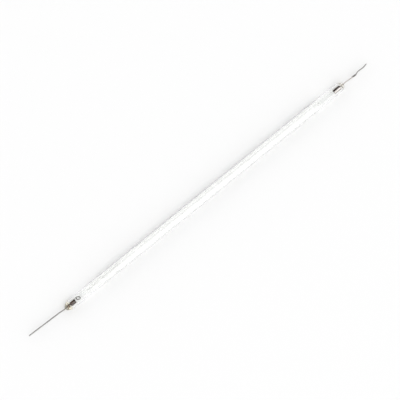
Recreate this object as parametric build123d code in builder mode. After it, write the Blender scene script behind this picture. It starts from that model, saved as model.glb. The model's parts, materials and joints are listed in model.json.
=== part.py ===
from build123d import *
import os
from math import asin, cos, degrees, radians, sin, sqrt

# A small straight cold-cathode fluorescent lamp, in millimetres.
# +X runs along the glass, from the getter end on the left to the spliced end on the right. +Z is up.
# The origin is on the axis of the glass, half-way along it.
# A "depth" is measured from a glass end towards the middle; a negative depth is outside the glass.

LEFT = -1
RIGHT = 1

# Glass envelope
glass_length = 150.0
tube_od = 4.1
tube_wall = 0.4
dome_length = 3.1
neck_radius = 0.9
neck_depth = 0.7
shoulder_depth = 1.5

# Phosphor lining
coating_thickness = 0.05
left_clear_length = 9.5
right_clear_length = 12.2

# Seal beads: the meniscus is the skirt of glass that creeps out along the wire
meniscus_length = 0.3
meniscus_flare = 0.15
meniscus_peak = 0.33
left_bead_rim = 1.9
right_bead_rim = 1.6
right_bead_core = 1.15

# Left electrode
left_wire_d = 0.5
left_lead_length = 18.9
left_lead_offset = 0.76
left_lead_bend_depth = -2.9
left_lead_bend_offset = 0.27
collar_back = 1.2
collar_length = 1.3
collar_radius = 0.85
collar_chamfer = 0.14
left_cup_base = 2.85
left_cup_length = 2.5
left_cup_radius = 0.98

# Right electrode
pin_d = 0.35
right_cup_base = 1.85
right_cup_length = 3.35
right_cup_radius = 0.95
right_cup_offset = -0.15
cup_wall = 0.15
cup_corner = 0.35
cup_lip_fillet = 0.05
weld_radius = 0.42
weld_length = 0.25
weld_waist = 0.35

# Getter, in front of the left cup
getter_depth = 7.1
getter_offset = 0.12
getter_swing = 40.0
getter_tilt = 35.0
getter_outer_radius = 1.06
getter_ring_width = 0.34
getter_ring_height = 0.3
getter_sheet = 0.08
strip_width = 0.62
strip_thickness = 0.12
strip_inside_cup = 1.2
strip_straight = 0.4
strip_gap = 0.01

# Right lead: the pin runs out to the splice, where the outer wire lies beside it
right_wire_d = 0.45
right_lead_length = 12.8
pin_rise_depth = -1.15
pin_rise_offset = 0.1
pin_tip_depth = -6.8
pin_tip_offset = -0.38
splice_angle = 45.0
splice_gap = 0.01
splice_lap = 2.2
splice_weld_length = 1.8
splice_weld_radius = 0.39
right_wire_crest_depth = -7.97
right_wire_crest_offset = 0.3
right_wire_kink_depth = -10.8
right_wire_kink_offset = 0.17
right_wire_tip_offset = 0.54

# Shared small sizes
wire_bend_radius = 4.6
splice_bend_radius = 1.75
wire_tip_chamfer = 0.06
exit_run = 0.4

# Mercury dose
droplet_radius = 0.4
droplet_x = 21.0

tube_radius = tube_od / 2
bore_radius = tube_radius - tube_wall
lining_radius = bore_radius - coating_thickness
half_length = glass_length / 2
neck_angle = degrees(asin(neck_radius / tube_radius))
lip_depth = dome_length - dome_length * cos(radians(neck_angle))

PARTS_FOLDER = "parts"
os.makedirs(PARTS_FOLDER, exist_ok=True)


def x_at(side, depth):
    """X of a point at this depth inside the glass end on one side."""
    return side * (half_length - depth)


def save(name, piece):
    """Labels a finished piece and writes it under its own name."""
    piece.part.label = name
    export_step(piece.part, f"{PARTS_FOLDER}/{name}.step")


def make_seal_bead(side, wire_d, rim_depth, core):
    """A bead that fills the neck and shoulder on one side; core is its inner outline, from the rim to the wire."""
    wire_radius = wire_d / 2
    flare_depth = -meniscus_length * meniscus_peak
    with BuildPart() as bead:
        with BuildSketch(Plane.XY):
            with BuildLine():
                Polyline(
                    (x_at(side, -meniscus_length), wire_radius),
                    (x_at(side, flare_depth), wire_radius + meniscus_flare),
                    (x_at(side, lip_depth), neck_radius),
                    (x_at(side, neck_depth), neck_radius),
                    (x_at(side, shoulder_depth), bore_radius),
                    (x_at(side, rim_depth), bore_radius),
                    *((x_at(side, depth), radius) for depth, radius in core),
                    close=True,
                )
            make_face()
        revolve(axis=Axis.X)
    return bead


def make_cup(side, base_depth, length, radius, sideways=0.0):
    """A drawn metal cup on one side, closed at its base and open towards the middle of the lamp."""
    base = Plane(origin=(x_at(side, base_depth), sideways, 0), z_dir=(-side, 0, 0))
    with BuildPart() as cup:
        with BuildSketch(base):
            Circle(radius)
        extrude(amount=length)
        ends = faces().sort_by(Axis.X)
        closed_end = ends[-1] if side == RIGHT else ends[0]
        fillet(closed_end.edges(), cup_corner)
        rim_faces = faces().sort_by(Axis.X)
        open_end = rim_faces[0] if side == RIGHT else rim_faces[-1]
        offset(amount=-cup_wall, openings=open_end)
        rim_x = x_at(side, base_depth + length)
        round_edges = edges().filter_by(GeomType.CIRCLE)
        rim = round_edges.filter_by(lambda edge: abs(edge.center().X - rim_x) < cup_lip_fillet)
        fillet(rim, cup_lip_fillet)
    return cup


def make_cup_weld(side, base_depth, wire_d):
    """The weld fillet around the wire where it meets the outside of a cup's base."""
    wire_radius = wire_d / 2
    with BuildPart() as weld:
        with BuildSketch(Plane.XY):
            with BuildLine():
                foot = (x_at(side, base_depth), weld_radius)
                root = (x_at(side, base_depth), wire_radius)
                top = (x_at(side, base_depth - weld_length), wire_radius)
                Line(foot, root)
                Line(root, top)
                waist_width = (weld_radius - wire_radius) * weld_waist
                waist = (x_at(side, base_depth - weld_length * weld_waist), wire_radius + waist_width)
                ThreePointArc(top, waist, foot)
            make_face()
        revolve(axis=Axis.X)
    return weld


def make_wire(points, diameter, bend_radius):
    """A round wire along straight runs joined by tangent arcs, with its outer tip broken."""
    with BuildPart() as wire:
        with BuildLine() as route:
            FilletPolyline(*points, radius=bend_radius)
        with BuildSketch(Plane(origin=route.line @ 0, z_dir=route.line % 0)):
            Circle(diameter / 2)
        sweep()
        tip = faces().sort_by(Axis.X)[-1 if points[-1][0] > points[0][0] else 0]
        chamfer(tip.edges(), wire_tip_chamfer)
    return wire


# Glass envelope: a drawn tube whose ends are rounded over and necked, half of it mirrored for the other end.
with BuildPart() as glass_tube:
    with BuildSketch(Plane.XY):
        with BuildLine():
            dome = EllipticalCenterArc(
                (half_length - dome_length, 0),
                dome_length,
                tube_radius,
                start_angle=neck_angle,
                arc_size=90 - neck_angle,
            )
            Line(dome @ 1, (0, tube_radius))
            Polyline(
                dome @ 0,
                (x_at(RIGHT, neck_depth), neck_radius),
                (x_at(RIGHT, shoulder_depth), bore_radius),
                (0, bore_radius),
            )
            mirror(about=Plane.YZ)
        make_face()
    revolve(axis=Axis.X)

# Phosphor lining: a thin sleeve against the bore, stopping short of both ends.
with BuildPart() as phosphor_coating:
    with BuildSketch(Plane.YZ.offset(x_at(LEFT, left_clear_length))):
        Circle(bore_radius)
        Circle(lining_radius, mode=Mode.SUBTRACT)
    extrude(amount=glass_length - left_clear_length - right_clear_length)

# Mercury dose: a droplet that has settled on the lining.
with BuildPart() as mercury_droplet:
    with BuildSketch(Plane.YZ.offset(droplet_x - droplet_radius)):
        Circle(lining_radius)
    extrude(amount=2 * droplet_radius)
    with Locations((droplet_x, 0, -lining_radius + droplet_radius / 2)):
        Sphere(droplet_radius, mode=Mode.INTERSECT)

# Left end: bead, collar seated against the bead, cup and its weld.
left_seal_bead = make_seal_bead(
    LEFT,
    left_wire_d,
    left_bead_rim,
    [(collar_back, collar_radius), (collar_back, left_wire_d / 2)],
)

with BuildPart() as left_weld_collar:
    with BuildSketch(Plane.YZ.offset(x_at(LEFT, collar_back))):
        Circle(collar_radius)
        Circle(left_wire_d / 2, mode=Mode.SUBTRACT)
    extrude(amount=collar_length)
    front_rim = faces().sort_by(Axis.X)[-1].edges().sort_by(SortBy.RADIUS)[-1]
    chamfer(front_rim, collar_chamfer)

left_electrode_cup = make_cup(LEFT, left_cup_base, left_cup_length, left_cup_radius)
left_cup_weld = make_cup_weld(LEFT, left_cup_base, left_wire_d)

left_lead_wire = make_wire(
    [
        (x_at(LEFT, left_cup_base), 0, 0),
        (x_at(LEFT, -exit_run), 0, 0),
        (x_at(LEFT, left_lead_bend_depth), left_lead_bend_offset, 0),
        (x_at(LEFT, -left_lead_length), left_lead_offset, 0),
    ],
    left_wire_d,
    wire_bend_radius,
)

# Getter: a channel-section ring with its pressed powder, swung and tilted so that it faces inwards and upwards.
ring_centre = Vector(x_at(LEFT, getter_depth), getter_offset, 0)
ring_radial = Vector(0, 1, 0).rotate(Axis.Z, getter_swing)
ring_facing = Vector(1, 0, 0).rotate(Axis.Z, getter_swing).rotate(Axis((0, 0, 0), ring_radial), -getter_tilt)
ring_section = Plane(origin=ring_centre, x_dir=ring_radial, z_dir=ring_radial.cross(ring_facing))
ring_axis = Axis(ring_centre, ring_facing)
channel_middle = getter_outer_radius - getter_ring_width / 2

with BuildPart() as getter_ring:
    with BuildSketch(ring_section):
        with Locations((channel_middle, 0)):
            Rectangle(getter_ring_width, getter_ring_height)
        with Locations((channel_middle, getter_sheet)):
            Rectangle(getter_ring_width - 2 * getter_sheet, getter_ring_height, mode=Mode.SUBTRACT)
    revolve(axis=ring_axis)

powder_depth = getter_ring_height - 2 * getter_sheet
with BuildPart() as getter_powder:
    with BuildSketch(ring_section):
        with Locations((channel_middle, 0)):
            Rectangle(getter_ring_width - 2 * getter_sheet, powder_depth)
    revolve(axis=ring_axis)

# Strip: flat against the inside of the cup, then bent in to meet the ring, and trimmed to the ring's side.
cup_bore_radius = left_cup_radius - cup_wall
strip_corner_drop = cup_bore_radius - sqrt(cup_bore_radius**2 - (strip_width / 2) ** 2)
strip_offset = cup_bore_radius - strip_corner_drop - strip_thickness / 2 - strip_gap
strip_end = ring_centre + ring_radial * getter_outer_radius
cup_rim_x = x_at(LEFT, left_cup_base + left_cup_length)
with BuildPart() as getter_strip:
    with BuildSketch(Plane.XY):
        with BuildLine():
            Polyline(
                (cup_rim_x - strip_inside_cup, strip_offset),
                (cup_rim_x + strip_straight, strip_offset),
                (strip_end.X, strip_end.Y),
            )
            offset(amount=strip_thickness / 2)
        make_face()
    extrude(amount=strip_width / 2, both=True)
    add(getter_ring.part, mode=Mode.SUBTRACT)

# Right end: bead, cup, welded on a little off the axis, and its weld.
right_seal_bead = make_seal_bead(RIGHT, pin_d, right_bead_rim, [(right_bead_core, pin_d / 2)])
right_electrode_cup = make_cup(RIGHT, right_cup_base, right_cup_length, right_cup_radius, right_cup_offset)
right_cup_weld = make_cup_weld(RIGHT, right_cup_base, pin_d)

pin_rise = Vector(x_at(RIGHT, pin_rise_depth), pin_rise_offset, 0)
pin_tip = Vector(x_at(RIGHT, pin_tip_depth), pin_tip_offset, 0)
right_lead_in_pin = make_wire(
    [
        (x_at(RIGHT, right_cup_base), 0, 0),
        (x_at(RIGHT, -exit_run), 0, 0),
        tuple(pin_rise),
        tuple(pin_tip),
    ],
    pin_d,
    splice_bend_radius,
)

# Splice: the outer wire starts beside the pin, one wire's width away, and both are held in a knot of weld metal.
pin_direction = (pin_tip - pin_rise).normalized()
side_step = (pin_d + right_wire_d) / 2 + splice_gap
across = Vector(0, cos(radians(splice_angle)), sin(radians(splice_angle))) * side_step
wire_start = pin_tip - pin_direction * splice_lap + across
wire_leave = pin_tip + across
right_lead_wire = make_wire(
    [
        tuple(wire_start),
        tuple(wire_leave),
        (x_at(RIGHT, right_wire_crest_depth), right_wire_crest_offset, across.Z),
        (x_at(RIGHT, right_wire_kink_depth), right_wire_kink_offset, across.Z),
        (x_at(RIGHT, -right_lead_length), right_wire_tip_offset, across.Z),
    ],
    right_wire_d,
    splice_bend_radius,
)

knot_centre = pin_tip - pin_direction * splice_lap / 2 + across * 0.5
knot_plane = Plane(origin=knot_centre, x_dir=pin_direction, z_dir=(0, 0, 1))
with BuildPart() as right_splice_weld:
    with BuildSketch(knot_plane):
        Ellipse(splice_weld_length / 2, splice_weld_radius)
        with Locations((0, -splice_weld_radius)):
            Rectangle(splice_weld_length, 2 * splice_weld_radius, mode=Mode.SUBTRACT)
    revolve(axis=Axis(knot_centre, pin_direction))
    add(right_lead_in_pin.part, mode=Mode.SUBTRACT)
    add(right_lead_wire.part, mode=Mode.SUBTRACT)

pieces = {
    "glass_tube": glass_tube,
    "phosphor_coating": phosphor_coating,
    "mercury_droplet": mercury_droplet,
    "left_seal_bead": left_seal_bead,
    "left_weld_collar": left_weld_collar,
    "left_electrode_cup": left_electrode_cup,
    "left_cup_weld": left_cup_weld,
    "left_lead_wire": left_lead_wire,
    "getter_strip": getter_strip,
    "getter_ring": getter_ring,
    "getter_powder": getter_powder,
    "right_seal_bead": right_seal_bead,
    "right_electrode_cup": right_electrode_cup,
    "right_cup_weld": right_cup_weld,
    "right_lead_in_pin": right_lead_in_pin,
    "right_splice_weld": right_splice_weld,
    "right_lead_wire": right_lead_wire,
}
for piece_name, piece in pieces.items():
    save(piece_name, piece)
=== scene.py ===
import json
import math

import bmesh
import bpy
from mathutils import Matrix, Vector, noise


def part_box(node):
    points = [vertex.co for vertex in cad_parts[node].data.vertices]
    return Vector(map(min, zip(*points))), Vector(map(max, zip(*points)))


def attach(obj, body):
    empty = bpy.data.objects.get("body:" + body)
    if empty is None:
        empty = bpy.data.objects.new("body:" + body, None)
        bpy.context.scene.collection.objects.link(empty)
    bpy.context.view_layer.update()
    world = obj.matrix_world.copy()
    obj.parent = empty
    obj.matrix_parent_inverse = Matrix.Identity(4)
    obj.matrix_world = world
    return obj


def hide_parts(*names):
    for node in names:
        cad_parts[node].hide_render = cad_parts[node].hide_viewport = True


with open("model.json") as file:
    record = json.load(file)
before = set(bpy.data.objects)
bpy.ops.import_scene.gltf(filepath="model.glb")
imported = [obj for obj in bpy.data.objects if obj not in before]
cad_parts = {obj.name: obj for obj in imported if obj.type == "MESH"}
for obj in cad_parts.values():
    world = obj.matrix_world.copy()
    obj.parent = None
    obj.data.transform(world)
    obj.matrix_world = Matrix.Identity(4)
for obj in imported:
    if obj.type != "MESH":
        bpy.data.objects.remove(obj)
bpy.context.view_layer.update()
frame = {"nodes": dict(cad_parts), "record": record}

# The looks of a small cold-cathode lamp: clear glass, a white powder lining, dark electrodes and bare leads.
# The lamp's own sizes and outlines are in millimetres, and new_piece brings them to the frame's metres.
# +X runs along the glass, from the getter end to the spliced end, +Z is up, and the origin is on the axis.

MM = 0.001
SEED = 7


def box(node_name):
    """The low and high corners of a CAD node, in millimetres."""
    low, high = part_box(node_name)
    return low / MM, high / MM


# Glass; a depth is measured inwards from the tip of a rounded end. GLASS_FIT keeps the round skin inside the
# CAD tube's box, which flat facets make a little smaller.
GLASS_MOUNT = next(m for m in frame["record"]["mounts"] if m["name"] == "glass_body")
GLASS_FIT = 0.996
TUBE_RADIUS = GLASS_MOUNT["dims"]["r_mm"] * GLASS_FIT
STRAIGHT_HALF = GLASS_MOUNT["dims"]["length_mm"] / 2
DOME_LENGTH = 3.1
GLASS_END = STRAIGHT_HALF + DOME_LENGTH
LINING_LOW, LINING_HIGH = box("phosphor_coating")
BORE_RADIUS = LINING_HIGH.z
SHOULDER_DEPTH = 1.5
CROWN_DEPTH = 0.9
CROWN_ANGLE = 14
MENISCUS = 0.3
FUSED_LAP = 0.01
GLASS_RINGS = 60

# Beads: the tint lies a hair inside the glass
TINT_INSET = 0.02
COLLAR_BITE = 0.05
LEFT_RIM_DEPTH = 2.7
LEFT_FOOT_RADIUS = 1.15
RIGHT_RIM_DEPTH = 1.6
RIGHT_RISE = 0.45
RIGHT_RISE_ANGLE = 4

# Lining
LINING_GAP = 0.008
LINING_THICKNESS = 0.03
LINING_INSET = 0.3
LINING_WAVE_REACH = 4
LINING_WAVES = 2.5
LEFT_FADE_LENGTH = 24
RIGHT_FADE_LENGTH = 5
FADE_WISPS = 0.22
FADE_COVER = ((0.04, 0.0), (0.18, 0.06), (0.30, 0.2), (0.42, 0.5), (0.60, 0.65), (0.85, 0.8), (1.0, 1.0))

# Wires and electrodes; the dent room keeps dented metal inside its CAD box
LEFT_WIRE_RADIUS = 0.25
PIN_RADIUS = 0.175
PIN_SLOPE = math.atan2(-0.48, 5.65)
DENT_ROOM = 0.012
CUP_WALL = 0.15
CUP_CORNER = 0.35
CUP_HOLE = 0.1
CUP_LIP = 0.1
CUP_RING = 0.012
CUP_RING_RATE = 9.0
COLLAR_FLANGE = 0.42
COLLAR_NECK_SHARE = 0.9
COLLAR_EDGE = 0.1
COLLAR_STEP_X = 0.08
COLLAR_STEP_R = 0.06
COLLAR_NOSE = 0.15
# How ragged the edges are of the painted highlight and painted shade bands on the right cup
PAINTED_BAND_RAGGED = 0.3

# Getter ring
GETTER_SWING = math.radians(40)
GETTER_TILT = math.radians(35)
RING_OUTER = 1.04
RING_WIDTH = 0.32
RING_HEIGHT = 0.28
RING_SHEET = 0.08
RING_EDGE = 0.06
FILL_BULGE = 0.02
FILL_STEPS = 6

# Splice knot
KNOT_ROOM = 0.03
KNOT_CORE = 0.04
KNOT_CORE_SHARE = 0.98
KNOT_FULLNESS = 0.8
KNOT_STEPS = 36
KNOT_LUMP = 0.045
KNOT_LUMP_SIZE = 0.3

# Camera, in metres: straight down on the lamp, which lies across the picture.
LAMP_ANGLE = math.radians(38.96)
PICTURE_WIDTH = 1.1189 * 2 * GLASS_END * MM
AIM_RIGHT = -0.01075 * PICTURE_WIDTH
AIM_UP = -0.00875 * PICTURE_WIDTH
LENS_MM = 100.0
SENSOR_MM = 36.0

# Light: a white studio tent that lights the floor to FLOOR_LEVEL, with a small share from a soft key at -Y.
FLOOR_SIZE = 3.0
FLOOR_WHITE = 0.75
FLOOR_MOTTLE = 0.002
FLOOR_LEVEL = 0.995
KEY_SHARE = 0.02
KEY_AZIMUTH = math.radians(-90)
KEY_ELEVATION = math.radians(58)
KEY_DISTANCE = 1.2
KEY_SIZE = 0.5

# The tent has one dark patch, high on the lamp's +Y side: SHADE_LEVEL of full brightness within SHADE_CORE
# (a cosine) of its middle, and full brightness beyond SHADE_EDGE.
SHADE_TILT = math.radians(30)
SHADE_LEVEL = 0.03
SHADE_CORE = 0.965
SHADE_EDGE = 0.88


# ---------------------------------------------------------------- mesh helpers


def face_outwards(mesh):
    """Turns every face of a closed mesh outwards, which glass needs."""
    shape = bmesh.new()
    shape.from_mesh(mesh)
    bmesh.ops.recalc_face_normals(shape, faces=shape.faces)
    shape.to_mesh(mesh)
    shape.free()


def new_piece(name, verts, faces, finish, node_name, sharp=0.6):
    """A smooth-shaded piece from points in millimetres; it rides on the lamp and stands for its CAD node."""
    mesh = bpy.data.meshes.new(name)
    mesh.from_pydata([tuple(Vector(v) * MM) for v in verts], [], faces)
    mesh.validate()
    face_outwards(mesh)
    mesh.polygons.foreach_set("use_smooth", [True] * len(mesh.polygons))
    mesh.set_sharp_from_angle(angle=sharp)
    mesh.materials.append(finish)
    piece = bpy.data.objects.new(name, mesh)
    bpy.context.scene.collection.objects.link(piece)
    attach(piece, "root")
    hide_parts(node_name)


def lathe(outline, steps=96, shift=None):
    """Turns a closed (x, radius) outline about X; shift(x, radius, angle) gives a small (dx, dr) to add."""
    count = len(outline)
    verts = []
    faces = []
    for s in range(steps):
        angle = 2 * math.pi * s / steps
        for x, r in outline:
            dx, dr = shift(x, r, angle) if shift else (0.0, 0.0)
            verts.append((x + dx, (r + dr) * math.cos(angle), (r + dr) * math.sin(angle)))
    for s in range(steps):
        a, b = s * count, (s + 1) % steps * count
        for i in range(count):
            j = (i + 1) % count
            faces.append((a + i, a + j, b + j, b + i))
    return verts, faces


def arc(centre, radius_x, radius_r, start, end, steps):
    """Points of an elliptical arc in the (x, radius) plane; angles in degrees."""
    out = []
    for i in range(steps + 1):
        angle = math.radians(start + (end - start) * i / steps)
        out.append((centre[0] + radius_x * math.cos(angle), centre[1] + radius_r * math.sin(angle)))
    return out


def spaced(start, end, count):
    """Evenly spaced values from start to end."""
    return [start + (end - start) * i / count for i in range(count + 1)]


def at_end(outline, side):
    """An outline of (depth inside the glass end, radius), placed at one end of the lamp."""
    return [(side * (GLASS_END - depth), r) for depth, r in outline]


def uneven(amount, reach, phase):
    """A shift for lathe that dents a turned surface by up to amount, with dents of about the size reach."""

    def shift(x, r, angle):
        place = Vector((x, r * math.cos(angle), r * math.sin(angle))) / reach
        return 0.0, amount * noise.noise(place + Vector((phase, 0, 0)))

    return shift


# ---------------------------------------------------------------- material helpers


def material(name):
    """A new node material: (material, principled node, node tree)."""
    made = bpy.data.materials.new(name)
    made.use_nodes = True
    tree = made.node_tree
    return made, tree.nodes["Principled BSDF"], tree


def feed(tree, value, socket):
    """Gives an input its value, which is another node's output or a plain number, colour or vector."""
    if isinstance(value, bpy.types.NodeSocket):
        tree.links.new(value, socket)
    else:
        socket.default_value = value


def compute(tree, kind, operation, *values):
    """The number that a math or vector math node works out."""
    made = tree.nodes.new(kind)
    made.operation = operation
    for value, socket in zip(values, made.inputs):
        feed(tree, value, socket)
    return made.outputs["Value"]


def mix(tree, share, first, second):
    """A blend of two shaders; share is how much of the second one shows."""
    made = tree.nodes.new("ShaderNodeMixShader")
    feed(tree, share, made.inputs["Fac"])
    tree.links.new(first, made.inputs[1])
    tree.links.new(second, made.inputs[2])
    return made.outputs["Shader"]


def coordinates(tree, stretch=(1, 1, 1)):
    """Object coordinates in millimetres, times stretch along each axis."""
    place = tree.nodes.new("ShaderNodeTexCoord")
    scale = tree.nodes.new("ShaderNodeMapping")
    scale.inputs["Scale"].default_value = [s / MM for s in stretch]
    tree.links.new(place.outputs["Object"], scale.inputs["Vector"])
    return scale.outputs["Vector"]


def part_of(tree, vector, axis):
    """One axis of a vector."""
    split = tree.nodes.new("ShaderNodeSeparateXYZ")
    tree.links.new(vector, split.inputs["Vector"])
    return split.outputs[axis]


def speckle(tree, vector, size, detail=4.0):
    """Noise with features of about this size, in the units of vector."""
    made = tree.nodes.new("ShaderNodeTexNoise")
    made.inputs["Scale"].default_value = 1 / size
    made.inputs["Detail"].default_value = detail
    made.inputs["Roughness"].default_value = 0.55
    tree.links.new(vector, made.inputs["Vector"])
    return made.outputs["Fac"]


def ramp(tree, value, stops):
    """A colour ramp over value; stops are (place, colour)."""
    made = tree.nodes.new("ShaderNodeValToRGB")
    bar = made.color_ramp
    while len(bar.elements) < len(stops):
        bar.elements.new(0.5)
    for element, (place, colour) in zip(bar.elements, stops):
        element.position = place
        element.color = (*colour, 1.0)
    tree.links.new(value, made.inputs["Fac"])
    return made.outputs["Color"]


def remap(tree, value, low, high, to_low, to_high):
    """Value, carried in a straight line from low..high to to_low..to_high, and held at both ends."""
    made = tree.nodes.new("ShaderNodeMapRange")
    made.inputs["From Min"].default_value = low
    made.inputs["From Max"].default_value = high
    made.inputs["To Min"].default_value = to_low
    made.inputs["To Max"].default_value = to_high
    tree.links.new(value, made.inputs["Value"])
    return made.outputs["Result"]


def bump(tree, shader, height, strength, depth):
    """Bump from height onto a shader node, with depth in millimetres."""
    made = tree.nodes.new("ShaderNodeBump")
    made.inputs["Strength"].default_value = strength
    made.inputs["Distance"].default_value = depth * MM
    tree.links.new(height, made.inputs["Height"])
    tree.links.new(made.outputs["Normal"], shader.inputs["Normal"])


# ---------------------------------------------------------------- materials


def make_metal(name, dark, light, roughness, grain, stretch, depth=0.01, metallic=1.0, streaked=False):
    """Metal with blotchy or streaky colour, a grain that leaves its shine uneven, and bumps of this depth."""
    made, shader, tree = material(name)
    drawn = coordinates(tree, stretch)
    blotches = speckle(tree, drawn if streaked else coordinates(tree), grain * 6, detail=3)
    lines = speckle(tree, drawn, grain, detail=2)
    middle = tuple((a + b) / 2 for a, b in zip(dark, light))
    colour = ramp(tree, blotches, [(0.35, dark), (0.5, middle), (0.65, light)])
    shine = remap(tree, lines, 0.3, 0.7, roughness - 0.08, roughness + 0.12)
    tree.links.new(colour, shader.inputs["Base Color"])
    tree.links.new(shine, shader.inputs["Roughness"])
    shader.inputs["Metallic"].default_value = metallic
    bump(tree, shader, lines, 0.6, depth)
    return made


def make_wire_metal(name, dark, light, roughness):
    """Dull metal, drawn along X."""
    return make_metal(name, dark, light, roughness, 0.03, (0.05, 1, 1), 0.004, streaked=True)


def make_nickel_painted_sheen():
    """Bright nickel with painted light across it, set by Y: a painted highlight band on its lower side, a
    ragged painted shade stripe along its upper half, and a browner painted reflection at both edges.
    """
    made, shader, tree = material("NickelPaintedSheen")
    low, high = box("right_electrode_cup")
    streaks = speckle(tree, coordinates(tree, (0.3, 1, 1)), 0.3)
    across = part_of(tree, coordinates(tree), "Y")
    ragged = compute(tree, "ShaderNodeMath", "MULTIPLY_ADD", streaks, PAINTED_BAND_RAGGED, across)
    middle = PAINTED_BAND_RAGGED / 2
    share = remap(tree, ragged, low.y + middle, high.y + middle, 0.0, 1.0)
    # brown is a painted darker reflection at both edges, bright a painted highlight, dark a painted shade
    # stripe along the upper side
    brown, bright, dark = (0.13, 0.09, 0.075), (0.62, 0.58, 0.555), (0.06, 0.045, 0.04)
    stops = [(0.06, brown), (0.22, bright), (0.44, bright), (0.56, dark), (0.84, dark), (1.0, brown)]
    tree.links.new(ramp(tree, share, stops), shader.inputs["Base Color"])
    tree.links.new(remap(tree, streaks, 0.3, 0.7, 0.16, 0.34), shader.inputs["Roughness"])
    shader.inputs["Metallic"].default_value = 1.0
    bump(tree, shader, streaks, 0.4, 0.003)
    return made


def make_clear_glass():
    """Clear glass, with the faint long waves of a drawn tube."""
    made, shader, tree = material("ClearGlass")
    waves = speckle(tree, coordinates(tree, (0.25, 1, 1)), 1.2, detail=3)
    shader.inputs["Base Color"].default_value = (0.993, 0.997, 0.993, 1)
    shader.inputs["Transmission Weight"].default_value = 1.0
    shader.inputs["IOR"].default_value = 1.49
    tree.links.new(remap(tree, waves, 0.35, 0.75, 0.0, 0.02), shader.inputs["Roughness"])
    bump(tree, shader, waves, 0.5, 0.0012)
    return made


def make_tint(name, deep, pale):
    """The colour of sealing glass: see-through, streaked along the wire, with almost no shine of its own."""
    made, shader, tree = material(name)
    streaks = speckle(tree, coordinates(tree, (0.4, 1, 1)), 0.5)
    colour = ramp(tree, streaks, [(0.35, (0.96, 0.86, 0.62)), (0.65, (0.985, 0.94, 0.80))])
    tree.links.new(colour, shader.inputs["Base Color"])
    shader.inputs["Roughness"].default_value = 0.15
    bump(tree, shader, streaks, 0.3, 0.004)
    through = tree.nodes.new("ShaderNodeBsdfTransparent")
    tree.links.new(ramp(tree, streaks, [(0.35, deep), (0.65, pale)]), through.inputs["Color"])
    surface = mix(tree, 0.03, through.outputs["BSDF"], shader.outputs["BSDF"])
    tree.links.new(surface, tree.nodes["Material Output"].inputs["Surface"])
    return made


def powder_cover(tree, vector):
    """How much of the glass the powder covers: it thins out slowly at the left and briefly at the right."""
    along = part_of(tree, vector, "X")
    start, end = LINING_LOW.x, LINING_HIGH.x
    from_left = remap(tree, along, start, start + LEFT_FADE_LENGTH, 0.0, 1.0)
    from_right = remap(tree, along, end - RIGHT_FADE_LENGTH, end, 1.0, 0.0)
    nearer = compute(tree, "ShaderNodeMath", "MINIMUM", from_left, from_right)
    wisps = speckle(tree, coordinates(tree, (0.07, 1, 1)), 0.45)
    ragged = compute(tree, "ShaderNodeMath", "MULTIPLY_ADD", wisps, FADE_WISPS, nearer)
    return ramp(tree, ragged, [(place, (share,) * 3) for place, share in FADE_COVER])


def make_phosphor():
    """White powder that lets a little light through, with fine grain and faint mottling."""
    made, shader, tree = material("Phosphor")
    vector = coordinates(tree)
    grain = speckle(tree, vector, 0.06, detail=3)
    mottle = speckle(tree, vector, 1.6)
    colour = ramp(tree, mottle, [(0.3, (0.89, 0.89, 0.88)), (0.7, (0.93, 0.93, 0.923))])
    tree.links.new(colour, shader.inputs["Base Color"])
    shader.inputs["Roughness"].default_value = 0.9
    shader.inputs["Specular IOR Level"].default_value = 0.2
    bump(tree, shader, grain, 0.5, 0.01)
    glow = tree.nodes.new("ShaderNodeBsdfTranslucent")
    tree.links.new(colour, glow.inputs["Color"])
    lit = mix(tree, 0.16, shader.outputs["BSDF"], glow.outputs["BSDF"])
    clear = tree.nodes.new("ShaderNodeBsdfTransparent")
    surface = mix(tree, powder_cover(tree, vector), clear.outputs["BSDF"], lit)
    tree.links.new(surface, tree.nodes["Material Output"].inputs["Surface"])
    return made


TURNED = (1, 0.2, 0.2)
EVEN = (1, 1, 1)
GLASS = make_clear_glass()
AMBER_GLASS = make_tint("AmberGlass", (0.995, 0.98, 0.935), (0.998, 0.99, 0.965))
PALE_GLASS = make_tint("PaleSealingGlass", (0.997, 0.992, 0.975), (0.999, 0.997, 0.99))
PHOSPHOR = make_phosphor()
DARK_NICKEL = make_metal("DarkNickel", (0.022, 0.014, 0.011), (0.085, 0.055, 0.042), 0.40, 0.05, TURNED)
COLLAR_NICKEL = make_metal("CollarNickel", (0.045, 0.026, 0.015), (0.13, 0.085, 0.055), 0.42, 0.05, TURNED)
# The right cup's nickel carries painted light: a painted highlight band and painted shade and reflection
# stripes
NICKEL_PAINTED_SHEEN = make_nickel_painted_sheen()
LEAD = make_wire_metal("BareLead", (0.20, 0.194, 0.187), (0.34, 0.332, 0.32), 0.38)
PIN = make_wire_metal("CopperCladPin", (0.33, 0.29, 0.265), (0.50, 0.455, 0.425), 0.42)
WELD = make_metal("WeldMetal", (0.045, 0.040, 0.039), (0.14, 0.125, 0.12), 0.5, 0.06, EVEN, 0.03)
GETTER_METAL = make_metal("GetterMetal", (0.11, 0.095, 0.09), (0.30, 0.275, 0.26), 0.4, 0.04, (0.3, 1, 1))
GETTER_FILL = make_metal("GetterFill", (0.03, 0.028, 0.027), (0.08, 0.075, 0.07), 0.85, 0.04, EVEN, 0.03, 0.1)
MERCURY = make_metal("Mercury", (0.70, 0.70, 0.72), (0.78, 0.78, 0.80), 0.12, 0.2, EVEN, 0.002)

CAD_MATERIALS = {
    "left_cup_weld": WELD,
    "right_cup_weld": WELD,
    "left_lead_wire": LEAD,
    "right_lead_wire": LEAD,
    "right_lead_in_pin": PIN,
    "getter_strip": GETTER_METAL,
    "mercury_droplet": MERCURY,
}
for name, finish in CAD_MATERIALS.items():
    mesh = frame["nodes"][name].data
    mesh.materials.clear()
    mesh.materials.append(finish)


# ---------------------------------------------------------------- glass and lining


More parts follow.
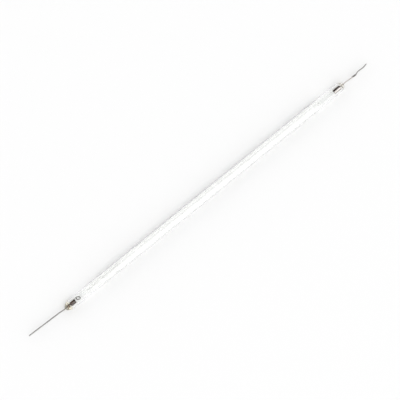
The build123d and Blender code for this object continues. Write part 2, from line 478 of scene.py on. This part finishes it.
def crown(wire_radius, inset=0.0):
    """The outside of a fused end, from the meniscus on the wire to the dome's widest; inset shrinks it."""
    dome = arc((DOME_LENGTH, 0), inset - DOME_LENGTH, TUBE_RADIUS - inset, CROWN_ANGLE, 90, 28)
    foot_depth, foot_radius = dome[0]
    tip = inset - MENISCUS
    meniscus = arc((tip, foot_radius), foot_depth - tip, foot_radius - wire_radius - inset, -90, 0, 8)
    return [(tip, wire_radius - FUSED_LAP)] + meniscus[:-1] + dome


def left_face(inset=0.0):
    """The inner face of the left bead: it creeps up the bore around the collar, which stands on it."""
    bore = BORE_RADIUS + inset
    foot = LEFT_FOOT_RADIUS + inset
    seat = box("left_weld_collar")[0].x + GLASS_END + COLLAR_BITE
    hollow = arc((LEFT_RIM_DEPTH - inset, foot), seat - LEFT_RIM_DEPTH, bore - foot, 90, 0, 14)
    return hollow + [(seat - inset, LEFT_WIRE_RADIUS - FUSED_LAP)]


def right_face(inset=0.0):
    """The inner face of the right bead, drawn up a little along the pin."""
    rim = RIGHT_RIM_DEPTH - inset
    rise = BORE_RADIUS + inset - PIN_RADIUS
    hollow = arc((rim, PIN_RADIUS), -RIGHT_RISE, rise, 90, RIGHT_RISE_ANGLE, 14)
    return hollow + [(rim - RIGHT_RISE, PIN_RADIUS - FUSED_LAP)]


def make_glass_tube():
    """The envelope and the fused ends, one skin of glass, for no surface is left between tube and bead."""
    left_outside = at_end(crown(LEFT_WIRE_RADIUS), -1)
    right_outside = at_end(crown(PIN_RADIUS), 1)[::-1]
    left_inside = at_end(left_face(), -1)
    right_inside = at_end(right_face(), 1)[::-1]
    tube = [(x, TUBE_RADIUS) for x in spaced(-STRAIGHT_HALF, STRAIGHT_HALF, GLASS_RINGS)[1:-1]]
    bore = [(x, BORE_RADIUS) for x in spaced(right_inside[-1][0], left_inside[0][0], GLASS_RINGS)[1:-1]]
    outline = left_outside + tube + right_outside + right_inside + bore + left_inside
    verts, faces = lathe(outline, 160)
    new_piece("glass_envelope", verts, faces, GLASS, "glass_tube")


def make_bead(name, node_name, side, wire_radius, face, finish):
    """The tinted glass of one bead, a hair inside the fused skin."""
    rim, bore = face[0]
    outside = [point for point in crown(wire_radius, TINT_INSET) if point[0] < CROWN_DEPTH]
    outside += [(SHOULDER_DEPTH, bore + TINT_INSET), (rim, bore + TINT_INSET)]
    verts, faces = lathe(at_end(outside + face, side), 128)
    new_piece(name, verts, faces, finish, node_name)


def make_lining():
    """The powder sleeve, one thickness just inside the bore, with slightly wavy ends."""
    outer = BORE_RADIUS - LINING_GAP
    inner = outer - LINING_THICKNESS
    low = LINING_LOW.x + LINING_INSET
    high = LINING_HIGH.x - LINING_INSET
    xs = spaced(low, high, 120)
    outline = [(x, outer) for x in xs] + [(x, inner) for x in reversed(xs)]

    def wavy(x, r, angle):
        near_end = max(0.0, 1 - min(x - low, high - x) / LINING_WAVE_REACH)
        around = Vector((math.cos(angle), math.sin(angle), math.copysign(SEED, x)))
        return near_end * LINING_INSET * noise.noise(around * LINING_WAVES), 0.0

    verts, faces = lathe(outline, 96, wavy)
    new_piece("phosphor_lining", verts, faces, PHOSPHOR, "phosphor_coating")


# ---------------------------------------------------------------- electrodes and splice


def ringed_wall(start, end, radius):
    """The outside of a cup's wall, with faint draw rings."""
    wall = []
    for depth in spaced(start, end, 40):
        ring = CUP_RING * (0.5 - 0.5 * math.cos(depth * CUP_RING_RATE))
        wall.append((depth, radius - ring))
    return wall


def make_cup(name, node_name, side, finish):
    """A drawn cup: flat base, rounded corner, faint draw rings and a rolled lip."""
    low, high = box(node_name)
    centre_y = (high.y + low.y) / 2
    base, lip = (high.x, low.x) if side > 0 else (low.x, high.x)
    length = abs(lip - base)
    outer = (high.z - low.z) / 2 - DENT_ROOM
    inner = outer - CUP_WALL
    inner_corner = CUP_CORNER - CUP_WALL
    lip_radius = CUP_WALL / 2

    outline = [(0.0, CUP_HOLE)]
    outline += arc((CUP_CORNER, outer - CUP_CORNER), -CUP_CORNER, CUP_CORNER, 0, 90, 10)
    outline += ringed_wall(CUP_CORNER, length - CUP_LIP, outer)[1:]
    outline += arc((length - lip_radius, outer - lip_radius), lip_radius, lip_radius, 90, -90, 8)
    outline += [(depth, inner) for depth in spaced(length - 2 * CUP_LIP, CUP_CORNER, 20)]
    outline += arc((CUP_CORNER, inner - inner_corner), -inner_corner, inner_corner, 90, 0, 6)[1:]
    outline += [(CUP_WALL, CUP_HOLE)]

    placed = [(base - side * depth, r) for depth, r in outline]
    turned, faces = lathe(placed, 96, uneven(DENT_ROOM, 0.5, side * SEED))
    verts = [(x, y + centre_y, z) for x, y, z in turned]
    new_piece(name, verts, faces, finish, node_name)


def make_collar():
    """The collar on the left wire: a thin flange against the bead, then a narrower neck with a soft front."""
    low, high = box("left_weld_collar")
    length = high.x - low.x
    radius = high.y - DENT_ROOM
    neck = radius * COLLAR_NECK_SHARE
    wire = LEFT_WIRE_RADIUS - FUSED_LAP
    edge, nose = COLLAR_EDGE, COLLAR_NOSE
    step_x, step_r = COLLAR_STEP_X, COLLAR_STEP_R

    outline = [(0.0, wire)]
    outline += arc((edge, radius - edge), -edge, edge, 0, 90, 5)
    outline += arc((COLLAR_FLANGE - edge, radius - edge), edge, edge, 90, 0, 5)
    outline += arc((COLLAR_FLANGE + step_x, neck + step_r), -step_x, step_r, 0, -90, 4)
    outline += arc((length - nose, neck - nose), nose, nose, 90, 0, 6)
    outline += [(length, wire)]

    placed = [(low.x + depth, r) for depth, r in outline]
    verts, faces = lathe(placed, 96, uneven(0.014, 0.35, SEED))
    new_piece("collar", verts, faces, COLLAR_NICKEL, "left_weld_collar")


def channel_outline(middle, half_width, half_height):
    """The section of the ring's sheet-metal channel, open at its front."""
    sheet, edge = RING_SHEET, RING_EDGE
    inner, outer = middle - half_width, middle + half_width
    back, front = -half_height, half_height - sheet / 2
    outline = arc((back + edge, inner + edge), edge, edge, 270, 180, 4)
    outline += arc((back + edge, outer - edge), edge, edge, 180, 90, 4)
    outline += arc((front, outer - sheet / 2), sheet / 2, sheet / 2, 90, -90, 5)
    outline += [(back + sheet, outer - sheet), (back + sheet, inner + sheet)]
    outline += arc((front, inner + sheet / 2), sheet / 2, sheet / 2, 90, -90, 5)
    return outline


def fill_outline(middle, half_width, half_height):
    """The section of the powder in the channel, with its front a little swollen."""
    bottom, top = -half_height + RING_SHEET, half_height - RING_SHEET
    low, high = middle - half_width + RING_SHEET, middle + half_width - RING_SHEET
    outline = [(bottom, low), (top, low)]
    for i in range(1, FILL_STEPS):
        share = i / FILL_STEPS
        outline.append((top + FILL_BULGE * math.sin(math.pi * share), low + (high - low) * share))
    return outline + [(top, high), (bottom, high)]


def make_ring_piece(name, node_name, section, dents, finish):
    """A piece turned about the getter ring's axis, which is swung and tilted off the lamp's."""
    low, high = box("getter_ring")
    centre = (low + high) / 2
    swing = Matrix.Rotation(GETTER_SWING, 3, "Z")
    across = swing @ Vector((0, 1, 0))
    facing = Matrix.Rotation(-GETTER_TILT, 3, across) @ swing @ Vector((1, 0, 0))
    third = facing.cross(across)
    outline = section(RING_OUTER - RING_WIDTH / 2, RING_WIDTH / 2, RING_HEIGHT / 2)
    turned, faces = lathe(outline, 96, uneven(dents, 0.15, SEED))
    verts = [centre + facing * x + across * y + third * z for x, y, z in turned]
    new_piece(name, verts, faces, finish, node_name)


def make_knot():
    """The splice: a lumpy spindle of weld metal along the pin's own direction."""
    low, high = box("right_splice_weld")
    centre = (low + high) / 2
    half = (high.x - low.x) / 2 - KNOT_ROOM
    radius = (high.z - low.z) / 2 - KNOT_ROOM
    ahead = Vector((math.cos(PIN_SLOPE), math.sin(PIN_SLOPE), 0))
    aside = Vector((-ahead.y, ahead.x, 0))
    spindle = []
    for i in range(1, KNOT_STEPS):
        turn = math.pi * i / KNOT_STEPS
        spindle.append((half * math.cos(math.pi - turn), radius * math.sin(turn) ** KNOT_FULLNESS))
    core = [(x, KNOT_CORE) for x in (half * KNOT_CORE_SHARE, -half * KNOT_CORE_SHARE)]
    turned, faces = lathe(spindle + core, 72, uneven(KNOT_LUMP, KNOT_LUMP_SIZE, SEED))
    verts = [centre + ahead * x + aside * y + Vector((0, 0, z)) for x, y, z in turned]
    new_piece("splice_knot", verts, faces, WELD, "right_splice_weld")


make_glass_tube()
make_lining()
make_bead("left_bead", "left_seal_bead", -1, LEFT_WIRE_RADIUS, left_face(TINT_INSET), AMBER_GLASS)
make_bead("right_bead", "right_seal_bead", 1, PIN_RADIUS, right_face(TINT_INSET), PALE_GLASS)
make_cup("left_cup", "left_electrode_cup", -1, DARK_NICKEL)
make_cup("right_cup", "right_electrode_cup", 1, NICKEL_PAINTED_SHEEN)
make_collar()
make_ring_piece("getter_channel", "getter_ring", channel_outline, 0.01, GETTER_METAL)
make_ring_piece("getter_fill", "getter_powder", fill_outline, 0.03, GETTER_FILL)
make_knot()


# ---------------------------------------------------------------- floor, light and camera


def make_floor():
    """A plain pale floor under the lamp."""
    half = FLOOR_SIZE / 2
    z = -TUBE_RADIUS * MM
    corners = [(-half, -half, z), (half, -half, z), (half, half, z), (-half, half, z)]
    mesh = bpy.data.meshes.new("floor")
    mesh.from_pydata(corners, [], [(0, 1, 2, 3)])
    made, shader, tree = material("PaleFloor")
    fibre = speckle(tree, coordinates(tree), 0.25, detail=3)
    duller, whiter = FLOOR_WHITE - FLOOR_MOTTLE, FLOOR_WHITE + FLOOR_MOTTLE
    colour = ramp(tree, fibre, [(0.3, (duller,) * 3), (0.7, (whiter,) * 3)])
    tree.links.new(colour, shader.inputs["Base Color"])
    shader.inputs["Roughness"].default_value = 0.95
    shader.inputs["Specular IOR Level"].default_value = 0.0
    mesh.materials.append(made)
    floor = bpy.data.objects.new("floor", mesh)
    bpy.context.scene.collection.objects.link(floor)


def tent_share(facing):
    """How bright the tent is in a direction, from the cosine of its angle to the dark patch's middle."""
    share = min(max((facing - SHADE_EDGE) / (SHADE_CORE - SHADE_EDGE), 0.0), 1.0)
    return 1 + (SHADE_LEVEL - 1) * share


def tent_light(middle, steps=48):
    """The light that the tent throws on the floor where its full brightness is 1."""
    total = 0.0
    for i in range(steps):
        tilt = (i + 0.5) / steps * math.pi / 2
        flat = math.sin(tilt)
        for j in range(2 * steps):
            turn = j / steps * math.pi
            towards = Vector((flat * math.cos(turn), flat * math.sin(turn), math.cos(tilt)))
            total += tent_share(towards.dot(middle)) * math.cos(tilt) * flat
    return total * (math.pi / 2 / steps) * (math.pi / steps)


def make_tent():
    """A white studio tent all round, with its one dark patch."""
    world = bpy.data.worlds.new("StudioDome")
    world.use_nodes = True
    bpy.context.scene.world = world
    tree = world.node_tree
    middle = Vector((0, math.sin(SHADE_TILT), math.cos(SHADE_TILT)))
    towards = tree.nodes.new("ShaderNodeTexCoord").outputs["Generated"]
    facing = compute(tree, "ShaderNodeVectorMath", "DOT_PRODUCT", towards, middle)
    full = (1 - KEY_SHARE) * FLOOR_LEVEL / FLOOR_WHITE * math.pi / tent_light(middle)
    level = remap(tree, facing, SHADE_EDGE, SHADE_CORE, full, full * SHADE_LEVEL)
    sky = tree.nodes["Background"]
    sky.inputs["Color"].default_value = (1, 1, 1, 1)
    tree.links.new(level, sky.inputs["Strength"])


def make_key():
    """A large soft lamp that gives the floor its own share of the light."""
    lamp = bpy.data.lights.new("SoftKey", "AREA")
    lamp.shape = "DISK"
    lamp.size = KEY_SIZE
    needed = KEY_SHARE * FLOOR_LEVEL / FLOOR_WHITE / math.sin(KEY_ELEVATION)
    lamp.energy = needed * math.pi**2 * KEY_DISTANCE**2
    key = bpy.data.objects.new("SoftKey", lamp)
    bpy.context.scene.collection.objects.link(key)
    flat = math.cos(KEY_ELEVATION)
    towards = Vector((math.cos(KEY_AZIMUTH) * flat, math.sin(KEY_AZIMUTH) * flat, math.sin(KEY_ELEVATION)))
    key.location = towards * KEY_DISTANCE
    key.rotation_euler = (-towards).to_track_quat("-Z", "Y").to_euler()


def make_camera():
    """A camera straight above, turned so that the lamp rises to the right."""
    scene = bpy.context.scene
    right = Vector((math.cos(LAMP_ANGLE), -math.sin(LAMP_ANGLE), 0))
    up = Vector((math.sin(LAMP_ANGLE), math.cos(LAMP_ANGLE), 0))
    lens = bpy.data.cameras.new("camera")
    lens.lens = LENS_MM
    lens.sensor_width = SENSOR_MM
    lens.clip_start = 0.01
    camera = bpy.data.objects.new("camera", lens)
    scene.collection.objects.link(camera)
    height = PICTURE_WIDTH * LENS_MM / SENSOR_MM
    camera.location = right * AIM_RIGHT + up * AIM_UP + Vector((0, 0, height))
    camera.rotation_euler = Matrix((right, up, Vector((0, 0, 1)))).transposed().to_euler()
    scene.camera = camera


make_floor()
make_tent()
make_key()
make_camera()

# Light has to pass four glass surfaces each way, so paths are let run longer than the default.
paths = bpy.context.scene.cycles
paths.max_bounces = 32
paths.transmission_bounces = 32
paths.transparent_max_bounces = 32
paths.diffuse_bounces = 8
paths.blur_glossy = 0.0
bpy.context.scene.view_settings.view_transform = "Standard"
